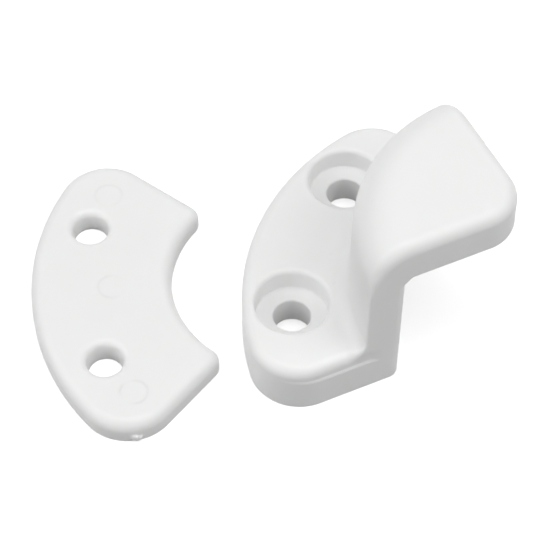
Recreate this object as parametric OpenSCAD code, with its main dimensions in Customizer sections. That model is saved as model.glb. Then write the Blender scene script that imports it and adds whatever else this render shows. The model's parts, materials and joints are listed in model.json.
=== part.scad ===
// Catch keeper with its spacing packer, for a casement window's cam handle.
// Frame: origin midway between the keeper's two screw holes, on its mounting face.
// +X points from the screw line towards the hook's tip, +Y runs along the screw line,
// +Z points away from the window frame.  All lengths are millimetres.

/* [Crescent outline] */
// Distance between the two screw holes
hole_spacing = 20; // [18:1:21]
// Radius of the long outer edge
back_r = 31; // [29:1:34]
// How far the outer edge stands behind the screw line
back_x = 8; // [7.6:0.1:8.4]
// Radius of the two outer corners
corner_r = 6; // [5:0.5:6.5]
// Radius of the inner notch at the mounting face
notch_r = 14.3; // [13.8:0.1:14.8]
// Depth of material in front of the screw line, at the notch's middle
notch_x = 9; // [8.6:0.1:9.4]
// Direction of each end face, from the line of the screws
end_angle = 44; // [42:1:46]
// Distance from the origin to each end face
end_dist = 17.7; // [17.2:0.1:18.2]
// Radius of the two thin tips
tip_r = 1.5; // [1:0.1:1.8]

/* [Keeper base] */
// Thickness of the keeper's base
base_h = 6.7; // [6.3:0.2:8.3]
// Rounding of the base's upper edge
base_e = 1.5; // [1.1:0.2:2.5]
// Diameter of the screw holes
screw_d = 4.5; // [4.2:0.1:5]
// Diameter of the screw head's recess
recess_d = 8.8; // [8.4:0.2:9.4]
// Depth of the screw head's recess
recess_h = 2.8; // [2.4:0.1:4.4]
// Chamfer around the recess's mouth
recess_c = 0.5; // [0.3:0.1:0.8]

/* [Hook] */
// Radius of the hook wall's outer face at its foot
wall_r = 20.3; // [19.7:0.1:20.7]
// How far the middle of the wall's arc lies beyond the middle of the notch
wall_x = 1.7; // [1.3:0.1:2.1]
// Height of the hook's underside above the mounting face
arm_z = 18; // [16:0.5:19]
// Height of the hook's top above the mounting face
arm_top = 23.7; // [22.2:0.5:25.7]
// Rounding between the wall's outer face and the hook's top
crown_e = 5; // [4:0.5:5.5]
// Rounding of the hook's other two upper edges
arm_e = 1.3; // [0.9:0.2:2.1]
// Rounding of the upper edge round the hook's tip
apex_e = 1.6; // [1.4:0.1:2.4]
// Radius of the hook's tip
apex_r = 5; // [4:0.5:6]
// Fillet at the wall's foot
foot_f = 2; // [1:0.2:3]
// Fillet under the hook
under_f = 1; // [0.5:0.1:1.5]
// Lean of the wall's two faces, per mm of height
lean = 0.02; // [0.01:0.005:0.03]

/* [Packer] */
// Thickness of the packer plate
packer_h = 3; // [2:0.5:4]
// Rounding of the packer's upper edge
packer_e = 1.5; // [0.75:0.25:1.5]
// Flare around the packer's holes
packer_c = 0.4; // [0.2:0.1:0.6]
// Where the loose packer lies beside the keeper, along X
packer_x = -23.5; // [-40:0.5:-23.5]
// Where the loose packer lies beside the keeper, along Y
packer_y = -13.8; // [-20:0.1:-5]
// How far the loose packer is turned
packer_turn = 27; // [0:1:40]

/* [Hidden] */
$fn = 96;
white = [0.93, 0.93, 0.92];
pale = [0.91, 0.91, 0.90];
sa = sin(end_angle);
ca = cos(end_angle);
// centre of the outer edge, and of the notch
bx = back_r - back_x;
nx = notch_x + notch_r;
// centre of an outer corner
ch = (end_dist - corner_r) - sa * bx;
cw = sqrt(pow(back_r - corner_r, 2) - ch * ch);
cx = bx + sa * ch - ca * cw;
cy = ca * ch + sa * cw;
// direction of the outer edge's centre line through that corner
ct = atan2(cy, cx - bx);
// centre of a tip's rounding
th = (end_dist - tip_r) - sa * nx;
tw = sqrt(pow(notch_r + tip_r, 2) - th * th);
tx = nx + sa * th - ca * tw;
ty = ca * th + sa * tw;
ta = atan2(ty, tx - nx);
// centre of the hook's tip rounding
ax = (end_dist - apex_r) / sa;
far = 60;

// a quarter-rounded profile: r wide, h high, outer top corner rounded by e
module rounded_profile(r, h, e) {
  difference() {
    square([r, h]);
    translate([r - e, h - e]) difference() {
      square([e + 1, e + 1]);
      circle(e);
    }
  }
}

// round plate with its upper rim rounded
module rounded_disc(r, h, e) {
  rotate_extrude() rounded_profile(r, h, e);
}

// everything behind the end face on one side, its upper edge rounded
module end_slab(h, e) {
  rotate([0, 0, 90 - end_angle])
    translate([end_dist - far, far / 2, 0]) rotate([90, 0, 0])
      linear_extrude(far) rounded_profile(far, h, e);
}

// a wedge from point (x, y), between two directions, for cutting corners away
module wedge(x, y, a, b, h) {
  translate([x, y, -1]) linear_extrude(h + 2)
    polygon([[0, 0], [far * cos(a), far * sin(a)],
      [far * cos((a + b) / 2), far * sin((a + b) / 2)], [far * cos(b), far * sin(b)]]);
}

// cuts a rounded corner of radius r: it stands out by a hair, so that its faces cross the others
module corner_cut(x, y, a, b, r, h, e) {
  m = (a + b) / 2;
  o = 0.012 * r;
  difference() {
    wedge(x, y, a, b, h);
    translate([x + o * cos(m), y + o * sin(m), 0]) rounded_disc(r, h, e);
  }
}

module both_ends(h, e) {
  intersection() {
    end_slab(h, e);
    mirror([0, 1, 0]) end_slab(h, e);
  }
}

// the crescent before its notch is cut: an outer arc, two end faces, two rounded corners
module plate(h, e) {
  difference() {
    difference() {
      intersection() {
        translate([bx, 0, 0]) rounded_disc(back_r, h, e);
        both_ends(h, e);
      }
      corner_cut(cx, cy, 90 - end_angle, ct, corner_r, h, e);
    }
    corner_cut(cx, -cy, -ct, end_angle - 90, corner_r, h, e);
  }
}

// takes the sharp points off both tips, each with two flats
module tip_cut(h) {
  for (s = [1, -1]) for (t = [0.27, 0.73]) {
    a = (90 - end_angle) * (1 - t) + (ta - 180) * t;
    translate([tx, s * ty, -1]) rotate([0, 0, s * a])
      translate([tip_r * 1.02, -3, 0]) cube([4, 6, h + 1]);
  }
}

// the hook's wall and arm, still solid under the arm
module hook() {
  intersection() {
    translate([nx + wall_x, 0, 0]) rotate_extrude() difference() {
      polygon([[0, 1], [wall_r + foot_f, 1], [wall_r + foot_f, base_h - 0.08],
        [wall_r, base_h + foot_f], [wall_r - lean * (arm_top - crown_e - base_h), arm_top - crown_e],
        [wall_r - lean * (arm_top - crown_e - base_h), arm_top], [0, arm_top]]);
      translate([wall_r + foot_f, base_h - 0.08 + foot_f]) circle(foot_f);
      translate([wall_r - lean * (arm_top - crown_e - base_h) - crown_e, arm_top - crown_e])
        difference() {
          square([crown_e + 1, crown_e + 1]);
          circle(crown_e);
        }
    }
    both_ends(arm_top, arm_e);
  }
}

// the whole space of the notch, from below the base up to the arm's underside
module notch_space() {
  translate([nx, 0, 0]) rotate_extrude() difference() {
    polygon([[0, -1], [notch_r + lean, -1], [notch_r - lean * arm_z, arm_z], [0, arm_z]]);
    translate([notch_r - lean * arm_z - under_f, arm_z - under_f]) difference() {
      square([under_f + 1, under_f + 1]);
      circle(under_f);
    }
  }
}

module keeper() {
  color(white) difference() {
    union() {
      plate(base_h, base_e);
      difference() {
        hook();
        corner_cut(ax, 0, end_angle - 90, 90 - end_angle, apex_r, arm_top, apex_e);
      }
    }
    notch_space();
    tip_cut(arm_z - 0.4);
    for (s = [-1, 1]) translate([0, s * hole_spacing / 2, 0]) {
      translate([0, 0, -1]) cylinder(h = base_h + 2, d = screw_d);
      translate([0, 0, base_h - recess_h]) cylinder(h = recess_h + 1, d = recess_d);
      translate([0, 0, base_h - recess_c])
        cylinder(h = recess_c + 0.2, d1 = recess_d, d2 = recess_d + 2 * recess_c + 0.4);
    }
  }
}

module packer() {
  color(pale) translate([packer_x, packer_y, 0]) rotate([0, 0, packer_turn]) difference() {
    plate(packer_h, packer_e);
    translate([nx, 0, -1]) cylinder(h = packer_h + 2, r = notch_r);
    tip_cut(packer_h + 1);
    for (s = [-1, 1]) translate([0, s * hole_spacing / 2, 0]) {
      translate([0, 0, -1]) cylinder(h = packer_h + 2, d = screw_d);
      translate([0, 0, packer_h - packer_c])
        cylinder(h = packer_c + 0.1, d1 = screw_d, d2 = screw_d + 2 * packer_c + 0.2);
    }
  }
}

keeper();
packer();
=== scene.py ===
"""A moulded window-catch keeper and its loose spacing packer, on a pale floor.

Both pieces are solid injection mouldings. Each one is written as a signed distance, in mm, with the
rounded edges, fillets, draft and moulding marks of the real thing, and meshed at its zero surface.
"""
import json
import math

import bmesh
import bpy
import numpy as np
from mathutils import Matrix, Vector


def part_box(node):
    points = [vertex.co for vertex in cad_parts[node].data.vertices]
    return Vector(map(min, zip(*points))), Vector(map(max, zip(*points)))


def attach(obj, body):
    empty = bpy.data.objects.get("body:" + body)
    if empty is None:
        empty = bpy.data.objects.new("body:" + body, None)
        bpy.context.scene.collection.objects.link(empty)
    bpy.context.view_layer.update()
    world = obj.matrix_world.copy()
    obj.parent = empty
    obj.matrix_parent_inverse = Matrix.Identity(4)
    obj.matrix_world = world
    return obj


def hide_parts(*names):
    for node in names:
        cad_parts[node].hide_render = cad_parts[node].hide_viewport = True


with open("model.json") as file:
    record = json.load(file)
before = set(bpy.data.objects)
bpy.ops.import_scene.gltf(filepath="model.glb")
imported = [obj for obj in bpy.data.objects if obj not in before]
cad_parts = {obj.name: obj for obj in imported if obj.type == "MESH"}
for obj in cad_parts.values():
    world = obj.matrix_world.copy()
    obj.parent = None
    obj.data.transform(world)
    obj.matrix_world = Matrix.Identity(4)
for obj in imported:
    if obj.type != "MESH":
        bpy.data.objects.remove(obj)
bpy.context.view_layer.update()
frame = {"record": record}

# ---------------------------------------------------------------- sizes, in millimetres
MM = 0.001
mounts = {m["name"]: m for m in frame["record"]["mounts"]}
keeper_low, keeper_high = (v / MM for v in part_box("keeper"))
packer_low, packer_high = (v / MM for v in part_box("packer"))

HALF_SPACING = mounts["keeper_screws"]["dims"]["spacing_y_mm"] / 2
HOLE_R = mounts["keeper_screws"]["dims"]["hole_r_mm"]
PACKER_AT = [c / MM for c in mounts["packer_screws"]["pos_m"]]
PACKER_TURN = math.radians(27)

# crescent outline of both pieces
BACK_R = 31.0                       # long outer edge
BACK_MID = BACK_R + keeper_low.x    # its centre, along X
CORNER_R = 6.0
END_ANGLE = math.radians(44)        # direction of the end faces, from the screw line
END_DIST = 17.7                     # from the origin to each end face
END_N = np.array([math.sin(END_ANGLE), math.cos(END_ANGLE)])     # out of the end face
END_T = np.array([math.cos(END_ANGLE), -math.sin(END_ANGLE)])    # along it, towards the notch
NOTCH_R = 14.3
NOTCH_MID = 9.0 + NOTCH_R           # its centre, along X
TIP_R = 1.5                         # rounding of the two thin tips beside the notch
BOTTOM_EDGE = 0.15                  # rounding of the outline's lower edge

# keeper's base and screw recesses
BASE_H = 6.7
BASE_EDGE = 1.5
RECESS_R = 4.4                      # at its floor
RECESS_Z = 3.9                      # height of its floor
RECESS_DRAFT = 0.03
RECESS_RIM = 0.6                    # rounding of its mouth
RECESS_CORNER = 0.12                # rounding between its floor and side
HOLE_RIM = 0.2

# keeper's hook
WALL_R = 20.3
WALL_MID = NOTCH_MID + 1.7          # the wall's arc is flatter than the notch
ARM_Z = mounts["hook_underside"]["pos_m"][2] / MM
TOP = keeper_high.z
CROWN = 5.0                         # rounding between the wall's outer face and the top
ARM_EDGE = 1.6                      # rounding of the arm's upper edges
WALL_EDGE = 0.3                     # rounding of the wall's upright edges
WALL_EDGE_ENDS = (16.5, 21.0)       # heights between which it grows into the arm's
WALL_EDGE_PAST = 0.2                # it fades from this far past the wall to this far past its foot
APEX_R = 5.0                        # the arm's tip, in plan
FOOT = 2.0                          # fillet between wall and base
UNDER = 0.6                         # fillet between wall and arm
UNDER_EDGE = 0.5                    # rounding of the arm's lower edge
UNDER_EDGE_BELOW = (1.2, 0.1)       # depths under the arm between which it takes over from TIP_R
LEAN = 0.02                         # draft of the wall's two faces

# the small ledge that the mould's parting line leaves on the keeper's end faces
PARTING_Z = 4.95
LEDGE = 0.2
LEDGE_STEP = 0.3                    # height over which the face steps back
LEDGE_FADE = (5.3, 7.0)             # heights over which it comes forward again
LEDGE_START = (-1.0, 9.0)           # along X, over which it deepens
LEDGE_END = (10.9, 12.3)            # and over which it ends
LEDGE_DIP = 0.4                     # the line drops by this, near the notch
LEDGE_DIP_AT = (10.6, 12.2)

# packer
PACKER_H = packer_high.z
PACKER_EDGE = 1.5
PACKER_APEX_R = 1.0                 # never seen: the notch cuts the apex away
HOLE_DRAFT = 0.06
FLARE = 0.7                         # rounding that the holes gain towards their mouths
FLARE_AT = (0.5, 2.0)               # heights over which that rounding grows
FLARE_LEAST = 0.1                   # what it starts from
GATE_AT = (2.75, -20.02, 0.8)       # what is left of the sprue
GATE_HALF = (0.75, 0.38, 0.65)
GATE_BREAK = 0.35                   # height of the break over its centre
GATE_SLANT = 0.4
GATE_FILLET = 0.12


# ---------------------------------------------------------------- signed distances
def round_and(a, b, r):
    """Intersection with its edge rounded by r."""
    u, v = np.maximum(a + r, 0), np.maximum(b + r, 0)
    return np.minimum(np.maximum(a, b), -r) + np.sqrt(u * u + v * v)


def round_or(a, b, r):
    """Union with a fillet of radius r."""
    return -round_and(-a, -b, r)


def step(x, a, b):
    """0 before a, 1 after b, smooth between."""
    t = np.clip((x - a) / (b - a), 0, 1)
    return t * t * (3 - 2 * t)


def along(px, py, v):
    """How far points lie along a direction."""
    return px * v[0] + py * v[1]


def square_to(v, towards):
    """Unit vector at right angles to v, on the side that faces towards."""
    q = np.array([v[1], -v[0]]) / np.linalg.norm(v)
    return q if q @ towards > 0 else -q


def meets_end(mid, radius, inset):
    """Centre of a rounding, inset from the end face and a radius away from (mid, 0)."""
    height = (END_DIST - inset) - END_N[0] * mid
    reach = math.sqrt(radius ** 2 - height ** 2)
    return np.array([mid, 0.0]) + END_N * height - END_T * reach


def outline(x, y, apex):
    """The crescent's outer outline: a long arc, two end faces, rounded corners and a rounded apex."""
    ay = np.abs(y)
    back = np.hypot(x - BACK_MID, y) - BACK_R
    end = along(x, ay, END_N) - END_DIST
    corner = meets_end(BACK_MID, BACK_R - CORNER_R, CORNER_R)
    past_arc = square_to(corner - (BACK_MID, 0.0), END_N)
    px, py = x - corner[0], ay - corner[1]
    in_corner = (along(px, py, past_arc) > 0) & (along(px, py, END_T) < 0)
    d = np.where(in_corner, np.hypot(px, py) - CORNER_R, np.maximum(back, end))
    apex_x = (END_DIST - apex) / END_N[0]
    at_apex = along(x - apex_x, ay, END_T) > 0
    return np.where(at_apex, np.hypot(x - apex_x, y) - apex, d)


def hollow(x, y, radius):
    """Outside of the notch."""
    return radius - np.hypot(x - NOTCH_MID, y)


def tips(x, y):
    """Rounding of the crescent's two thin tips."""
    c = meets_end(NOTCH_MID, NOTCH_R + TIP_R, TIP_R)
    past_arc = square_to(c - (NOTCH_MID, 0.0), END_N)
    px, py = x - c[0], np.abs(y) - c[1]
    in_tip = (along(px, py, END_T) > 0) & (along(px, py, past_arc) > 0)
    return np.where(in_tip, np.hypot(px, py) - TIP_R, -TIP_R)


def ledge(x, z):
    """How far the end faces stand back above the parting line."""
    dip = LEDGE_DIP * step(x, *LEDGE_DIP_AT)
    above = step(z + dip, PARTING_Z - LEDGE_STEP, PARTING_Z) * (1 - step(z, *LEDGE_FADE))
    return LEDGE * above * step(x, *LEDGE_START) * (1 - step(x, *LEDGE_END))


def keeper_edge(r, z):
    """Rounding of the edge round the keeper's outline, r from the middle of the wall's arc."""
    near_wall = 1 - step(r, WALL_R + WALL_EDGE_PAST, WALL_R + FOOT + WALL_EDGE_PAST)
    wall_edge = WALL_EDGE + (ARM_EDGE - WALL_EDGE) * step(z, *WALL_EDGE_ENDS)
    return BASE_EDGE + near_wall * (wall_edge - BASE_EDGE)


def keeper_shape(x, y, z):
    """The hook keeper."""
    r = np.hypot(x - WALL_MID, y)
    wall = r - WALL_R + LEAN * (z - BASE_H)
    hook = round_and(wall, z - TOP, CROWN)
    body = round_or(z - BASE_H, hook, FOOT)
    s = round_and(body, outline(x, y, APEX_R) + ledge(x, z), keeper_edge(r, z))
    under = round_and(-hollow(x, y, NOTCH_R - LEAN * z), z - ARM_Z, UNDER)
    near_arm = step(z, *(ARM_Z - below for below in UNDER_EDGE_BELOW))
    s = round_and(s, -under, TIP_R - (TIP_R - UNDER_EDGE) * near_arm)
    s = round_and(s, -z, BOTTOM_EDGE)
    for side in (-HALF_SPACING, HALF_SPACING):
        h = np.hypot(x, y - side)
        recess = round_and(h - RECESS_R - RECESS_DRAFT * (z - RECESS_Z), RECESS_Z - z, RECESS_CORNER)
        s = round_and(s, -recess, RECESS_RIM)
        s = round_and(s, HOLE_R - h, HOLE_RIM)
    return s


def gate_stub(x, y, z):
    """What is left of the sprue on the packer's lower end: a lump with a slanting, broken-off top."""
    cx, cy, cz = GATE_AT
    hx, hy, hz = GATE_HALF
    lump = (np.sqrt(((x - cx) / hx) ** 2 + ((y - cy) / hy) ** 2 + ((z - cz) / hz) ** 2) - 1) * hy
    return np.maximum(lump, z - cz - GATE_BREAK + GATE_SLANT * (x - cx))


def packer_shape(x, y, z):
    """The packer, in its own frame: its screw holes lie along Y and narrow a little downwards."""
    flat = np.maximum(np.maximum(outline(x, y, PACKER_APEX_R), hollow(x, y, NOTCH_R)), tips(x, y))
    s = round_and(flat, z - PACKER_H, PACKER_EDGE)
    s = round_or(s, gate_stub(x, y, z), GATE_FILLET)
    s = round_and(s, -z, BOTTOM_EDGE)
    for side in (-HALF_SPACING, HALF_SPACING):
        hole = HOLE_R - HOLE_DRAFT * (PACKER_H - z) - np.hypot(x, y - side)
        s = round_and(s, hole, FLARE * step(z, *FLARE_AT) + FLARE_LEAST)
    return s


def packer_point(x, y):
    """Where a point of the packer's own frame lies."""
    c, s = math.cos(PACKER_TURN), math.sin(PACKER_TURN)
    return PACKER_AT[0] + x * c - y * s, PACKER_AT[1] + x * s + y * c


def packer_placed(x, y, z):
    """The packer where it lies."""
    dx, dy = x - PACKER_AT[0], y - PACKER_AT[1]
    c, s = math.cos(PACKER_TURN), math.sin(PACKER_TURN)
    return packer_shape(dx * c + dy * s, dy * c - dx * s, z)


# ---------------------------------------------------------------- meshing
KEEPER_CELL = 0.21  # 0.215 and 0.23 to 0.25 left edges shared by four faces beside a recess
PACKER_CELL = 0.25
BEFORE = 1.37       # cells before the piece: a fraction, so that no flat face lies on the grid's planes
AFTER = 2.4         # cells past it
SLAB = 16           # grid planes worked out at a time, to spare memory
PULL = 0.08         # how strongly a vertex is held near the mean of its cell's crossings
REACH = 0.03        # how far round a vertex its shading normal looks


def slope(shape, p, e=0.02):
    """Unit outward normals of a shape's level surfaces at points p."""
    n = np.empty_like(p)
    for k in range(3):
        d = np.zeros(3)
        d[k] = e
        n[:, k] = shape(*(p + d).T) - shape(*(p - d).T)
    return n / np.maximum(np.linalg.norm(n, axis=1), 1e-12)[:, None]


def crossings(shape, value, axes, k):
    """Grid edges along axis k that pass through the surface: index, point, normal and direction."""
    inside = value < 0
    a = [slice(None)] * 3
    b = [slice(None)] * 3
    a[k] = slice(None, -1)
    b[k] = slice(1, None)
    at = np.argwhere(inside[tuple(a)] != inside[tuple(b)])
    after = at.copy()
    after[:, k] += 1
    v0, v1 = value[tuple(at.T)], value[tuple(after.T)]
    p = np.stack([axes[j][at[:, j]] for j in range(3)], 1)
    size = axes[k][1] - axes[k][0]
    p[:, k] += v0 / (v0 - v1) * size
    for _ in range(2):      # closer to the surface, along the edge
        p[:, k] -= np.clip(shape(*p.T) / (v1 - v0), -0.5, 0.5) * size
    return at, p, slope(shape, p), v0 < 0


def cells_round(at, k, dims):
    """The four cells round each grid edge along axis k, as flat indices."""
    i, j = (k + 1) % 3, (k + 2) % 3
    around = []
    for di, dj in ((0, 0), (-1, 0), (-1, -1), (0, -1)):
        c = at.copy()
        c[:, i] += di
        c[:, j] += dj
        around.append(np.ravel_multi_index(c.T, dims))
    return np.stack(around, 1)


def fitted(cells, points, normals, size):
    """The cells in use, and for each the point nearest to all its crossings' tangent planes."""
    used, cells = np.unique(cells, return_inverse=True)
    count = np.bincount(cells).astype(float)
    mean = np.stack([np.bincount(cells, points[:, a]) / count for a in range(3)], 1)
    offset = ((points - mean[cells]) * normals).sum(1)
    left = np.empty((len(used), 3, 3))
    right = np.empty((len(used), 3))
    for a in range(3):
        right[:, a] = np.bincount(cells, normals[:, a] * offset)
        for b in range(3):
            left[:, a, b] = np.bincount(cells, normals[:, a] * normals[:, b])
    left += np.eye(3) * PULL
    shift = np.linalg.solve(left, right[:, :, None])[:, :, 0]
    return used, mean + np.clip(shift, -size, size)


def mesh_of(shape, low, high, size):
    """Closed quad mesh of a shape's zero surface, by dual contouring."""
    axes = [np.arange(low[k] - BEFORE * size, high[k] + AFTER * size, size) for k in range(3)]
    grid = np.stack(np.meshgrid(*axes, indexing="ij"), 0)
    slabs = range(0, grid.shape[1], SLAB)
    value = np.concatenate([shape(*grid[:, i:i + SLAB]) for i in slabs], 0)
    cells, points, normals, quads = [], [], [], []
    for k in range(3):
        at, p, n, leaves = crossings(shape, value, axes, k)
        around = cells_round(at, k, np.array(value.shape))
        quads.append(np.where(leaves[:, None], around, around[:, ::-1]))
        for c in range(4):
            cells.append(around[:, c])
            points.append(p)
            normals.append(n)
    used, vertex = fitted(np.concatenate(cells), np.concatenate(points), np.concatenate(normals), size)
    for _ in range(3):      # onto the surface itself
        vertex -= slope(shape, vertex) * np.clip(shape(*vertex.T), -size / 4, size / 4)[:, None]
    return vertex, np.searchsorted(used, np.concatenate(quads))


def moulding(name, shape, low, high, size):
    """A piece's object, smooth shaded with the shape's own normals."""
    vertex, quads = mesh_of(shape, low, high, size)
    data = bpy.data.meshes.new(name)
    data.vertices.add(len(vertex))
    data.vertices.foreach_set("co", (vertex * MM).astype(np.float32).ravel())
    data.loops.add(quads.size)
    data.loops.foreach_set("vertex_index", quads.astype(np.int32).ravel())
    data.polygons.add(len(quads))
    data.polygons.foreach_set("loop_start", np.arange(0, quads.size, 4, dtype=np.int32))
    data.polygons.foreach_set("use_smooth", np.ones(len(quads), bool))
    data.update(calc_edges=True)
    data.validate()
    data.normals_split_custom_set_from_vertices(slope(shape, vertex, REACH).tolist())
    piece = bpy.data.objects.new(name, data)
    bpy.context.scene.collection.objects.link(piece)
    return piece


# ---------------------------------------------------------------- materials
def node(tree, kind, **inputs):
    """A new shader node with some of its inputs set."""
    n = tree.nodes.new(kind)
    for name, value in inputs.items():
        n.inputs[name.replace("_", " ")].default_value = value
    return n


def maths(tree, operation, a, b):
    """Two values joined by a Math node; b may be a plain number."""
    n = tree.nodes.new("ShaderNodeMath")
    n.operation = operation
    tree.links.new(a, n.inputs[0])
    if isinstance(b, (int, float)):
        n.inputs[1].default_value = b
    else:
        tree.links.new(b, n.inputs[1])
    return n.outputs["Value"]


def ramp(tree, value, start, end, below=0.0, above=1.0, kind="LINEAR"):
    """A value that goes from below to above as another one goes from start to end."""
    n = node(tree, "ShaderNodeMapRange", From_Min=start, From_Max=end, To_Min=below, To_Max=above)
    n.interpolation_type = kind
    tree.links.new(value, n.inputs["Value"])
    return n.outputs["Result"]


def colour_ramp(tree, value, stops):
    """A colour that follows a value, through two (place, colour) stops."""
    n = tree.nodes.new("ShaderNodeValToRGB")
    for element, (place, colour) in zip(n.color_ramp.elements, stops):
        element.position = place
        element.color = colour
    tree.links.new(value, n.inputs["Fac"])
    return n


def noise(tree, where, scale, detail, rough=0.5):
    """Noise that runs through the piece, from 0 to 1."""
    n = node(tree, "ShaderNodeTexNoise", Scale=scale, Detail=detail, Roughness=rough)
    tree.links.new(where, n.inputs["Vector"])
    return n.outputs["Fac"]


def witness_ring(tree, where, centre, radius, width):
    """1 along a thin circle round a point of the surface, as an ejector pin or a nick leaves it."""
    d = tree.nodes.new("ShaderNodeVectorMath")
    d.operation = "DISTANCE"
    tree.links.new(where, d.inputs[0])
    d.inputs[1].default_value = [c * MM for c in centre]
    off = maths(tree, "ABSOLUTE", maths(tree, "SUBTRACT", d.outputs["Value"], radius * MM), 0.0)
    return ramp(tree, off, 0.0, width * MM, 1.0, 0.0, "SMOOTHSTEP")


def marks(tree, where, rings):
    """Depth, from 0 to 1, of a piece's rings and nicks."""
    deepest = None
    for centre, radius, width, depth in rings:
        mark = maths(tree, "MULTIPLY", witness_ring(tree, where, centre, radius, width), depth)
        deepest = maths(tree, "MAXIMUM", deepest, mark) if deepest else mark
    return deepest


def plastic(name, pale, warm, seed, rings):
    """White moulded plastic: a satin skin with a faint grain, a cloudy colour, and rings or nicks, greyed
    by their depth as painted shade in their grooves.
    """
    m = bpy.data.materials.new(name)
    m.use_nodes = True
    t = m.node_tree
    shader = t.nodes["Principled BSDF"]
    shader.inputs["IOR"].default_value = 1.5
    shader.inputs["Specular IOR Level"].default_value = 0.45
    shader.inputs["Subsurface Weight"].default_value = 0.35
    shader.inputs["Subsurface Radius"].default_value = (1.0, 0.95, 0.9)
    shader.inputs["Subsurface Scale"].default_value = 0.0008
    place = t.nodes.new("ShaderNodeTexCoord").outputs["Object"]
    shift = node(t, "ShaderNodeMapping", Location=(seed, seed * 0.37, seed * 0.61))
    t.links.new(place, shift.inputs["Vector"])
    where = shift.outputs["Vector"]

    # the rings are worn away in patches
    worn = ramp(t, noise(t, where, 320.0, 1.0), 0.38, 0.6)
    groove = maths(t, "MULTIPLY", marks(t, place, rings), worn)

    tint = colour_ramp(t, noise(t, where, 90.0, 3.0), ((0.3, warm), (0.7, pale)))
    # painted shade: the base colour greys toward a mid grey by the depth of the rings and nicks, standing
    # in for the shade that falls in their grooves
    painted_groove_shade = t.nodes.new("ShaderNodeMix")
    painted_groove_shade.data_type = "RGBA"
    painted_groove_shade.inputs["B"].default_value = (0.5, 0.5, 0.49, 1)
    t.links.new(maths(t, "MULTIPLY", groove, 0.45), painted_groove_shade.inputs["Factor"])
    t.links.new(tint.outputs["Color"], painted_groove_shade.inputs["A"])
    t.links.new(painted_groove_shade.outputs["Result"], shader.inputs["Base Color"])

    rough = ramp(t, noise(t, where, 220.0, 4.0, 0.6), 0.0, 1.0, 0.36, 0.50)
    t.links.new(rough, shader.inputs["Roughness"])

    relief = maths(t, "MULTIPLY", groove, -0.3)
    swell = noise(t, where, 260.0, 2.0)
    grain = noise(t, where, 2600.0, 2.0, 0.6)
    normal = None
    for height, strength, depth in ((relief, 1.0, 0.25), (swell, 0.1, 0.2), (grain, 0.1, 0.04)):
        bump = node(t, "ShaderNodeBump", Strength=strength, Distance=depth * MM)
        t.links.new(height, bump.inputs["Height"])
        if normal:
            t.links.new(normal, bump.inputs["Normal"])
        normal = bump.outputs["Normal"]
    t.links.new(normal, shader.inputs["Normal"])
    return m


def paper(glow=0.45):
    """Matt white studio floor with the faintest mottle, glowing a little to thin the shadows on it."""
    m = bpy.data.materials.new("studio_floor")
    m.use_nodes = True
    t = m.node_tree
    shader = t.nodes["Principled BSDF"]
    shader.inputs["Roughness"].default_value = 0.95
    shader.inputs["Specular IOR Level"].default_value = 0.05
    cloud = node(t, "ShaderNodeTexNoise", Scale=30.0, Detail=2.0)
    greys = ((0.0, (0.94, 0.94, 0.94, 1)), (1.0, (0.96, 0.96, 0.96, 1)))
    tint = colour_ramp(t, cloud.outputs["Fac"], greys)
    t.links.new(tint.outputs["Color"], shader.inputs["Base Color"])
    shader.inputs["Emission Color"].default_value = (1, 1, 1, 1)
    shader.inputs["Emission Strength"].default_value = glow
    return m


# ---------------------------------------------------------------- the object
# nicks in the top of the keeper's base: x, y, depth
NICK_R = 0.1
NICK_LINE = 0.2
NICKS = ((3.25, -5.42, 0.15), (3.5, -5.53, 0.25), (3.7, -5.75, 0.3), (3.8, -6.0, 0.2), (2.1, -1.75, 0.15))
nicks = [((x, y, BASE_H), NICK_R, NICK_LINE, depth) for x, y, depth in NICKS]

# ejector pins' rings on the packer, in its own frame: x, y, depth
PIN_R = 1.65
PIN_LINE = 0.35
PINS = ((2.7, 14.8, 0.22), (1.8, 0.55, 0.26), (2.95, -15.15, 0.32))
rings = [((*packer_point(x, y), PACKER_H), PIN_R, PIN_LINE, depth) for x, y, depth in PINS]

keeper = moulding("keeper_moulding", keeper_shape, keeper_low, keeper_high, KEEPER_CELL)
keeper_white = plastic("keeper_white", (0.90, 0.90, 0.90, 1), (0.885, 0.885, 0.88, 1), 0.0, nicks)
keeper.data.materials.append(keeper_white)
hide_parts("keeper")
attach(keeper, "keeper")

packer = moulding("packer_moulding", packer_placed, packer_low, packer_high, PACKER_CELL)
packer_white = plastic("packer_white", (0.895, 0.895, 0.895, 1), (0.88, 0.88, 0.875, 1), 3.1, rings)
packer.data.materials.append(packer_white)
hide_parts("packer")
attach(packer, "packer")

# ---------------------------------------------------------------- studio
# name, azimuth from +X and height above the floor in degrees, power in watts
LIGHTS = (("overhead", 0, 89.9, 2.75),
          ("right", 0, 55, 2.3),
          ("right_low", 20, 20, 0.4),
          ("left", 187, 22, 0.6),
          ("left_high", 200, 45, 1.6),
          ("left_front", 235, 25, 1.0),
          ("back", 90, 27, 0.85),
          ("front", 300, 26, 0.85))
CAMERA_AT = (0.0538, -0.1689, 0.2308)
CAMERA_AIM = (-0.00491, -0.00214, 0.0)
CAMERA_LENS = 155.08


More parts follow.
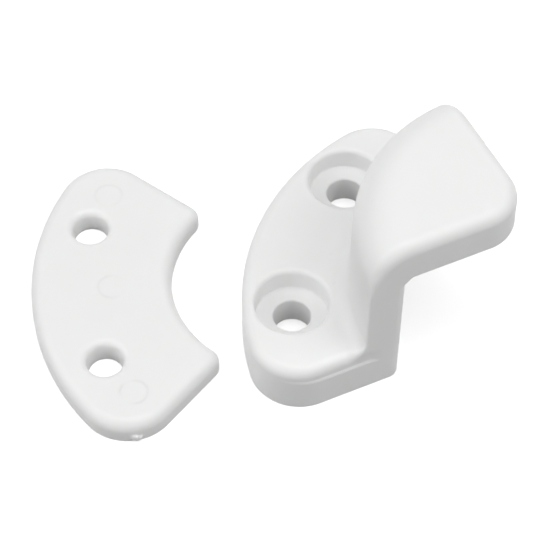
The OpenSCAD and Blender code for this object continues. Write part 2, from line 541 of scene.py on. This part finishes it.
def make_floor(half=1.5, cuts=12):
    """A flat sheet at z = 0."""
    bm = bmesh.new()
    bmesh.ops.create_grid(bm, x_segments=cuts, y_segments=cuts, size=half)
    data = bpy.data.meshes.new("floor")
    bm.to_mesh(data)
    bm.free()
    floor = bpy.data.objects.new("floor", data)
    floor.data.materials.append(paper())
    floor.visible_diffuse = False   # the tent's dark ground gives the bounce instead
    floor.visible_shadow = False
    bpy.context.scene.collection.objects.link(floor)


def softbox(name, azimuth, height, power, width=0.5, distance=0.9):
    """A square area light that looks at the object, from the given angles in degrees."""
    a, h = math.radians(azimuth), math.radians(height)
    lamp = bpy.data.lights.new(name, "AREA")
    lamp.size = width
    lamp.energy = power
    o = bpy.data.objects.new(name, lamp)
    o.location = Vector((math.cos(a) * math.cos(h), math.sin(a) * math.cos(h), math.sin(h))) * distance
    o.rotation_euler = (-o.location).to_track_quat("-Z", "Y").to_euler()
    bpy.context.scene.collection.objects.link(o)


def make_tent(ground, wall):
    """Light from all round: the pale walls of a light tent, open at the top, and a dark ground below."""
    world = bpy.data.worlds.new("studio")
    world.use_nodes = True
    t = world.node_tree
    where = t.nodes.new("ShaderNodeTexCoord")
    split = t.nodes.new("ShaderNodeSeparateXYZ")
    t.links.new(where.outputs["Generated"], split.inputs["Vector"])
    height = ramp(t, split.outputs["Z"], -1.0, 1.0)
    sky = colour_ramp(t, height, ((0.47, (ground, ground, ground, 1)), (0.53, (wall, wall, wall, 1))))
    for place, level in ((0.76, wall), (0.88, 0.0)):
        stop = sky.color_ramp.elements.new(place)
        stop.color = (level, level, level, 1)
    t.links.new(sky.outputs["Color"], t.nodes["Background"].inputs["Color"])
    bpy.context.scene.world = world


def make_camera():
    """The photographed view: a long lens, from above the front right."""
    data = bpy.data.cameras.new("camera")
    data.sensor_width = 36.0
    data.lens = CAMERA_LENS
    data.clip_start = 0.01
    data.clip_end = 10.0
    cam = bpy.data.objects.new("camera", data)
    cam.location = CAMERA_AT
    cam.rotation_euler = (Vector(CAMERA_AIM) - cam.location).to_track_quat("-Z", "Y").to_euler()
    bpy.context.scene.collection.objects.link(cam)
    bpy.context.scene.camera = cam


make_floor()
make_tent(ground=0.17, wall=0.36)
for light in LIGHTS:
    softbox(*light)
make_camera()
bpy.context.scene.view_settings.view_transform = "Standard"
